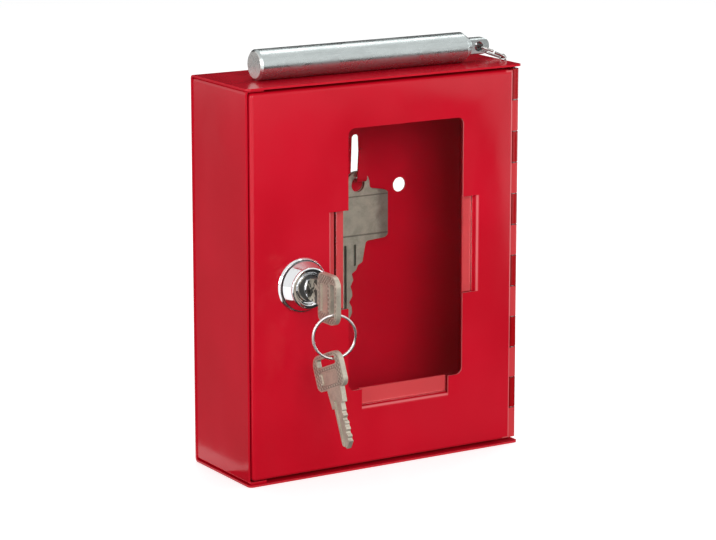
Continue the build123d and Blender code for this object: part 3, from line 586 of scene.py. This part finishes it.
def plug_face():
    """Dished front of the turning plug: a raised lip round the keyway, a groove, and a rim by the bore.

    A point runs from the keyway's rectangle to the plug's circle, in the same direction from the centre, and
    its height is two smooth humps, one at each end of that way. The outer rim then turns back to the plug.
    An attribute on its points is 1 less both humps, so painted shade darkens the groove and the keyway's edge.
    """
    angle = np.linspace(0, TURN, 96, endpoint=False) + 0.01
    c, s = np.cos(angle), np.sin(angle)
    half_width, half_height = 1.15, 2.75
    inner = np.stack([c, s], 1) * np.minimum(half_width / np.abs(c), half_height / np.abs(s))[:, None]
    outer = np.stack([c, s], 1) * (PLUG_R - 0.1)
    share = np.concatenate([[0, 0.001], np.linspace(0.05, 0.97, 26), [1.0, 1.0]])[:, None, None]
    flat = inner[None] * (1 - share) + outer[None] * share
    lip = 0.55 * smooth((0.34 - share[..., 0]) / 0.16)
    rim = 0.32 * smooth((share[..., 0] - 0.74) / 0.14)
    height = 0.06 + lip + rim + 0 * angle[None]
    height[0] = -0.5
    height[-1] = 0.0
    points = np.stack([flat[..., 0] + LOCK_X, PLUG_FACE_Y - height, flat[..., 1] + LOCK_Z], -1)
    faces = quads(*points.shape[:2], False, True)
    made = piece("plug_face", points, faces, "plug", "lock_chrome", crease=50.0)
    made.data.materials[0] = GROOVE_SHADE_CHROME
    # painted shade in the groove and along the keyway's edge
    shade_level = np.clip(1 - lip / 0.4 - rim / 0.3, 0, 1) * 0.85 + 0 * angle[None]
    made.data.attributes.new("recess_shade", "FLOAT", "POINT").data.foreach_set("value", shade_level.ravel())
    return made


# ---------------------------------------------------------------- rings and chain

RING_YAW = radians(14.0)
RING_CROSSING = radians(8.0)  # where the split ring's wire changes from one turn to the other
RING_CROSS_SPAN = 0.5


def split_ring():
    """Split ring: flat wire wound twice round, so its line is a circle that shifts sideways once.

    The angle runs through two turns. The shift along the ring's axis is a smooth step centred where the first
    turn ends, and both ends lie beside that crossing.
    """
    low, high = size_of("key_ring")
    centre = (low + high) / 2
    tangent = np.array([cos(RING_YAW), -sin(RING_YAW), 0.0])
    normal = np.array([-sin(RING_YAW), -cos(RING_YAW), 0.0])
    wire = 0.6
    radius = (high[2] - low[2]) / 2 - wire
    angle = np.linspace(RING_CROSS_SPAN, 2 * TURN - RING_CROSS_SPAN, 260)
    shift = 0.58 * smooth((angle - TURN + RING_CROSS_SPAN) / (2 * RING_CROSS_SPAN)) - 0.29
    turned = angle + RING_CROSSING
    out = np.cos(turned)[:, None] * tangent + np.sin(turned)[:, None] * np.array([0.0, 0.0, 1.0])
    line = centre + radius * out + shift[:, None] * normal
    across = np.broadcast_to(normal, line.shape)
    points, faces = skin(line, out, across, oval(0.46, 0.27, 16, 0.6), closed=False)
    return piece("split_ring", points, faces, "ring", "ring_steel", ("key_ring",), 50.0)


TETHER_WIRE_R = 0.55
TETHER_DROP = radians(24.0)
TETHER_GAP = 0.12
TETHER_GAP_AT = radians(250.0)


def jump_ring():
    """Tether ring: round wire bent to a circle, its cut ends a hair apart and a little out of line."""
    low, high = size_of("hammer_ring")
    centre = (low + high) / 2
    radius = (high[1] - low[1]) / 2 - TETHER_WIRE_R
    along = np.array([cos(TETHER_DROP), 0.0, -sin(TETHER_DROP)])
    beside = np.array([0.0, 1.0, 0.0])
    normal = np.cross(along, beside)
    angle = np.linspace(TETHER_GAP_AT + TETHER_GAP / 2, TETHER_GAP_AT + TURN - TETHER_GAP / 2, 120)
    out = np.cos(angle)[:, None] * along + np.sin(angle)[:, None] * beside
    lift = 0.12 * np.linspace(-1, 1, len(angle)) ** 5
    line = centre + radius * out + lift[:, None] * normal
    across = np.broadcast_to(normal, line.shape)
    points, faces = skin(line, out, across, oval(TETHER_WIRE_R, TETHER_WIRE_R, 14), closed=False)
    made = piece("jump_ring", points, faces, "striker", "ring_steel", ("hammer_ring",), 50.0)
    made.data.materials[0] = TETHER_STEEL
    return made


LINKS = 12
LINK_WIRE_R = 0.45
LINK_BEND_R = 1.25
LINK_STRAIGHT = 2.8
LINK_PITCH = 4.28


def tether_chain():
    """Chain links: each is a circle pulled apart into two half circles, skinned with wire, that swells a
    little at the weld in the middle of one long side; every second link is turned a quarter.
    """
    low, high = size_of("hammer_chain")
    x, y = (low[0] + high[0]) / 2, (low[1] + high[1]) / 2
    top = high[2] - LINK_WIRE_R - LINK_BEND_R
    bend = np.linspace(0, pi, 13)
    side = np.linspace(-1, 1, 9)[1:-1]
    straight = LINK_STRAIGHT / 2
    flat_x = np.concatenate([LINK_BEND_R * np.cos(bend), np.full(7, -LINK_BEND_R)])
    flat_z = np.concatenate([LINK_BEND_R * np.sin(bend) + straight, -side * straight])
    out_x = np.concatenate([np.cos(bend), np.full(7, -1.0)])
    out_z = np.concatenate([np.sin(bend), np.zeros(7)])
    thick = np.concatenate([np.ones(13), 1 + 0.22 * np.exp(-((side / 0.35) ** 2))])
    flat_x, flat_z = np.concatenate([flat_x, -flat_x]), np.concatenate([flat_z, -flat_z])
    out_x, out_z = np.concatenate([out_x, -out_x]), np.concatenate([out_z, -out_z])
    thick = np.concatenate([thick, np.ones(len(thick))])
    section = oval(LINK_WIRE_R, LINK_WIRE_R, 12)
    all_points, all_faces = [], []
    for index in range(LINKS):
        quarter = index % 2 * pi / 2
        level = np.array([cos(quarter), sin(quarter), 0.0])
        up = np.array([0.0, 0.0, 1.0])
        middle = np.array([x, y, top - straight - index * LINK_PITCH])
        line = middle + flat_x[:, None] * level + flat_z[:, None] * up
        out = out_x[:, None] * level + out_z[:, None] * up
        across = np.broadcast_to(np.cross(level, up), line.shape)
        points, faces = skin(line, out * thick[:, None], across * thick[:, None], section)
        all_faces += (np.array(faces) + index * len(points)).tolist()
        all_points.append(points)
    points = np.concatenate(all_points)
    made = piece("tether_chain", points, all_faces, "box", "ring_steel", ("hammer_chain",), 50.0)
    made.data.materials[0] = TETHER_STEEL
    return made


# ---------------------------------------------------------------- keys

BOW_CORNER_FAR, BOW_CORNER_NEAR = 4.4, 2.8
KEY_THICKNESS = 2.0
SLOT = ((0.0, 3.25), (6.3, 1.55), 0.8)
RECESS = ((0.0, 9.25), (5.2, 2.15), 0.5)
HATCH_PITCH = 1.2
HATCH_HEIGHT = 0.2
HATCH_STEP = 0.13
HATCH_MARGIN = 0.45
SPARE_YAW = radians(3.5)
SPARE_LEAN = radians(22.2)
RING_FROM_SLOT_END, RING_FROM_SLOT_SIDE = 1.45, 1.25


def outside_by(u, v, middle, half, radius):
    """Distance of points from a rectangle with round corners, negative inside it."""
    a = np.abs(u - middle[0]) - half[0] + radius
    b = np.abs(v - middle[1]) - half[1] + radius
    return np.hypot(np.maximum(a, 0), np.maximum(b, 0)) + np.minimum(np.maximum(a, b), 0) - radius


def key_hatch(name, origin, u_way, v_way, body):
    """Knurled pads on both faces of a small key's bow, leaving out the ring's slot and the smooth recess.

    The height over the face is the product of two sets of diagonal ridges, as cosines of u + v and u - v. It
    fades to a little under the face along the bow's edge, the slot and the recess.
    """
    u = np.arange(-BOW_WIDTH / 2, BOW_WIDTH / 2 + HATCH_STEP, HATCH_STEP)
    v = np.arange(0, BOW_LENGTH + HATCH_STEP, HATCH_STEP)
    u, v = np.meshgrid(u, v)
    half = (BOW_WIDTH / 2, BOW_LENGTH / 2)
    corner = np.where(v < half[1], BOW_CORNER_FAR, BOW_CORNER_NEAR)
    room = -outside_by(u, v, (0, half[1]), half, corner)
    room = np.minimum(room, outside_by(u, v, *SLOT))
    room = np.minimum(room, outside_by(u, v, *RECESS)) - HATCH_MARGIN
    wave = TURN / HATCH_PITCH / 2**0.5
    ridge = (0.5 + 0.5 * np.cos(wave * (u + v))) * 0.5 + (0.5 + 0.5 * np.cos(wave * (u - v))) * 0.5
    height = -0.05 + (0.08 + HATCH_HEIGHT * ridge) * smooth(room / 0.3)
    rows, columns = u.shape
    cells = quads(rows, columns)
    keep = (room.ravel()[cells] > -HATCH_STEP).all(1)
    n_way = np.cross(u_way, v_way)
    all_points, all_faces, all_ridges = [], [], []
    for side in (1, -1):
        all_ridges.append((ridge * smooth(room / 0.3)).ravel())
        lift = side * (KEY_THICKNESS / 2 + height)
        points = origin + u[..., None] * u_way + v[..., None] * v_way + lift[..., None] * n_way
        all_points.append(points.reshape(-1, 3))
        all_faces.append(cells[keep][:, ::side] + (0 if side == 1 else u.size))
    used, faces = np.unique(np.concatenate(all_faces), return_inverse=True)
    points = np.concatenate(all_points)[used]
    made = piece(name, points, faces.reshape(-1, 4), body, "key_nickel", crease=180.0)
    made.data.materials[0] = KNURL
    attribute = made.data.attributes.new("ridge", "FLOAT", "POINT")
    attribute.data.foreach_set("value", np.concatenate(all_ridges)[used])
    depth = made.modifiers.new("closed back", "SOLIDIFY")
    depth.thickness = 0.25 * MM
    depth.offset = -1.0
    return made


def key_hatches():
    """Knurled pads on the key in the lock, upright, and on the spare key, hung by its slot from the ring."""
    low, high = size_of("lock_key")
    origin = np.array([(low[0] + high[0]) / 2, low[1], low[2] + BOW_WIDTH / 2])
    up, back = np.array([0.0, 0.0, 1.0]), np.array([0.0, 1.0, 0.0])
    key_hatch("lock_key_hatch", origin, up, back, "key")
    ring_low, ring_high = size_of("key_ring")
    ring_bottom = np.array([*(ring_low + ring_high)[:2] / 2, ring_low[2] + 0.6])
    level = np.array([sin(SPARE_YAW), -cos(SPARE_YAW), 0.0])
    across = level * cos(SPARE_LEAN) + up * sin(SPARE_LEAN)
    along = level * sin(SPARE_LEAN) - up * cos(SPARE_LEAN)
    hang_u = SLOT[1][0] - RING_FROM_SLOT_END
    hang_v = SLOT[0][1] - SLOT[1][1] + RING_FROM_SLOT_SIDE
    key_hatch("spare_key_hatch", ring_bottom - across * hang_u - along * hang_v, across, along, "spare")


# ---------------------------------------------------------------- sheet metal, keys and rod with rounded edges

ROUNDED = {
    "back_shell": ("cabinet_shell", 0.3),
    "left_side_panel": ("left_panel", 0.33),
    "right_side_panel": ("right_panel", 0.15),
    "catch_bracket": ("cam_catch", 0.15),
    "door_panel": ("door", 0.25),
    "lock_key": ("key_in_lock", 0.22),
    "spare_key": ("key_on_ring", 0.22),
    "stored_key": ("key_on_hook", 0.25),
    "hammer": ("striker_rod", 0.12),
    "lock_cam": ("cam", 0.15),
    "lock_nut": ("nut", 0.1),
    "chain_anchor": ("rivet", 0.2),
}


OWN_FINISH = {
    "door_panel": DOOR_SHEEN_PAINT,
    "right_side_panel": SHADED_PANEL,
    "lock_key": NECK_SHADOW_KEY,
    "stored_key": SHADED_STORED_KEY,
}


def rounded_pieces():
    """Rounded copies of the nodes above, some with a finish of their own."""
    for node, (name, width) in ROUNDED.items():
        made = rounded(node, name, width)
        if node in OWN_FINISH:
            made.data.materials[0] = OWN_FINISH[node]


def dress_nodes():
    """Every other node keeps its own mesh and gets its slot's finish."""
    for name, node in frame["nodes"].items():
        for slot in node.material_slots:
            slot.material = MATERIALS[SLOT_OF[name]]


# ---------------------------------------------------------------- camera, floor and light

ROOM_GREY = 0.37
FLOOR_HALF = 1.6
FLOOR_GREY = 0.85
FLOOR_GLOW = 0.53
CARDS = {  # centre, direction that it faces, turn about that, half width, half height, brightness
    "front_card": ((0.330, -0.560, 0.002), (0, 0, 1), 31.4, 0.23, 0.68, 0.03),
    "back_card": ((0.28, 0.80, 0.55), (-0.36, -0.9, -0.2), 0.0, 0.60, 0.60, 0.014),
    "left_card": ((-0.50, 0.55, 0.002), (0, 0, 1), 0.0, 0.43, 0.55, 0.22),
}


def camera():
    """Camera at the photograph's angle, looking at the middle of the object."""
    data = bpy.data.cameras.new("camera")
    data.lens = LENS
    data.clip_end = 20.0
    made = bpy.data.objects.new("camera", data)
    bpy.context.scene.collection.objects.link(made)
    a, e = radians(VIEW_AZIMUTH), radians(VIEW_ELEVATION)
    back = Vector((sin(a) * cos(e), -cos(a) * cos(e), sin(e)))
    made.location = Vector(LOOK_AT) + back * CAMERA_DISTANCE
    made.rotation_euler = back.to_track_quat("Z", "Y").to_euler()
    bpy.context.scene.camera = made


def seen_white(tree):
    """1 where a camera, glossy or transmission ray looks before any matt bounce, otherwise 0.

    With it the picture, the gloss and the pane show a white room, and the light on the object stays grey.
    """
    path = tree.nodes.new("ShaderNodeLightPath")

    def combined(operation, first, second):
        made = tree.nodes.new("ShaderNodeMath")
        made.operation = operation
        tree.links.new(first, made.inputs[0])
        if isinstance(second, float):
            made.inputs[1].default_value = second
        else:
            tree.links.new(second, made.inputs[1])
        return made.outputs[0]

    gloss = combined("MAXIMUM", path.outputs["Is Glossy Ray"], path.outputs["Is Transmission Ray"])
    looks = combined("MAXIMUM", path.outputs["Is Camera Ray"], gloss)
    unscattered = combined("LESS_THAN", path.outputs["Diffuse Depth"], 0.5)
    return combined("MULTIPLY", looks, unscattered)


def room():
    """White world for the eye and for gloss, grey for the light that it sheds on the object."""
    world = bpy.data.worlds.new("room")
    bpy.context.scene.world = world
    world.use_nodes = True
    tree = world.node_tree
    white = tree.nodes["Background"]
    white.inputs["Color"].default_value = (1, 1, 1, 1)
    grey = tree.nodes.new("ShaderNodeBackground")
    grey.inputs["Color"].default_value = (ROOM_GREY, ROOM_GREY, ROOM_GREY, 1)
    mix = tree.nodes.new("ShaderNodeMixShader")
    tree.links.new(seen_white(tree), mix.inputs[0])
    tree.links.new(grey.outputs[0], mix.inputs[1])
    tree.links.new(white.outputs[0], mix.inputs[2])
    tree.links.new(mix.outputs[0], tree.nodes["World Output"].inputs["Surface"])


def floor():
    """Pale floor: what its grey sheds back, plus a plain glow for the eye, adds up to white beside the shadow."""
    made = plane("floor", FLOOR_HALF, FLOOR_HALF)
    made.location.z = -0.0001
    material, tree = plain_material("pale_floor")
    matt = tree.nodes.new("ShaderNodeBsdfDiffuse")
    matt.inputs["Color"].default_value = (FLOOR_GREY, FLOOR_GREY, FLOOR_GREY, 1)
    share = tree.nodes.new("ShaderNodeMath")
    share.operation = "MULTIPLY"
    share.inputs[1].default_value = FLOOR_GLOW
    tree.links.new(seen_white(tree), share.inputs[0])
    glow = tree.nodes.new("ShaderNodeEmission")
    tree.links.new(share.outputs[0], glow.inputs["Strength"])
    both = tree.nodes.new("ShaderNodeAddShader")
    tree.links.new(matt.outputs[0], both.inputs[0])
    tree.links.new(glow.outputs[0], both.inputs[1])
    tree.links.new(both.outputs[0], tree.nodes["Material Output"].inputs["Surface"])
    made.data.materials.append(material)


def plane(name, half_x, half_y):
    """Flat rectangle that belongs to the stage, not to the object."""
    mesh = bpy.data.meshes.new(name)
    corners = [(-half_x, -half_y, 0), (half_x, -half_y, 0), (half_x, half_y, 0), (-half_x, half_y, 0)]
    mesh.from_pydata(corners, [], [(0, 1, 2, 3)])
    made = bpy.data.objects.new(name, mesh)
    bpy.context.scene.collection.objects.link(made)
    return made


def plain_material(name):
    """New material whose tree holds only its output."""
    material = bpy.data.materials.new(name)
    material.use_nodes = True
    material.node_tree.nodes.remove(material.node_tree.nodes["Principled BSDF"])
    return material, material.node_tree


def cards():
    """Cards that only gloss sees, so that paint, pane and chrome mirror something darker than the room.

    Each is turned about the way that it faces. A ray that hasn't been mirrored yet passes straight through, so
    the pane shows the white room and not the card.
    """
    for name, (place, aim, turn, half_x, half_y, level) in CARDS.items():
        material, tree = plain_material(name)
        dim = tree.nodes.new("ShaderNodeEmission")
        dim.inputs["Strength"].default_value = level
        path = tree.nodes.new("ShaderNodeLightPath")
        mirrored = tree.nodes.new("ShaderNodeMath")
        mirrored.operation = "GREATER_THAN"
        mirrored.inputs[1].default_value = 0.5
        tree.links.new(path.outputs["Glossy Depth"], mirrored.inputs[0])
        mix = tree.nodes.new("ShaderNodeMixShader")
        tree.links.new(mirrored.outputs[0], mix.inputs[0])
        tree.links.new(tree.nodes.new("ShaderNodeBsdfTransparent").outputs[0], mix.inputs[1])
        tree.links.new(dim.outputs[0], mix.inputs[2])
        tree.links.new(mix.outputs[0], tree.nodes["Material Output"].inputs["Surface"])
        card = plane(name, half_x, half_y)
        card.location = place
        about = Quaternion((0, 0, 1), radians(turn))
        card.rotation_euler = (Vector(aim).to_track_quat("Z", "Y") @ about).to_euler()
        card.data.materials.append(material)
        card.visible_camera = False
        card.visible_diffuse = False
        card.visible_transmission = name == "front_card"  # the back panel's gloss meets it through the pane
        card.visible_shadow = False


LAMPS = {  # place, width, height, power
    "front_softbox": ((-0.25, -1.65, 0.75), 0.9, 0.9, 12.0),
    "left_softbox": ((-1.7, -0.6, 0.55), 0.7, 0.7, 10.0),
    "right_strip": ((1.5, -0.4, 0.35), 0.25, 1.0, 4.0),
    "overhead_softbox": ((0.35, 0.5, 1.2), 1.0, 1.0, 6.5),
}


def lamps():
    """Soft area lamps that all point at the middle of the object."""
    aim = Vector(LOOK_AT)
    for name, (place, width, height, power) in LAMPS.items():
        data = bpy.data.lights.new(name, "AREA")
        data.shape = "RECTANGLE"
        data.size = width
        data.size_y = height
        data.energy = power
        lamp = bpy.data.objects.new(name, data)
        lamp.location = place
        lamp.rotation_euler = (Vector(place) - aim).to_track_quat("Z", "Y").to_euler()
        bpy.context.scene.collection.objects.link(lamp)


camera()
room()
floor()
cards()
lamps()
dress_nodes()
rounded_pieces()
lock_body()
plug_face()
split_ring()
jump_ring()
tether_chain()
key_hatches()

bpy.context.scene.view_settings.view_transform = "Standard"
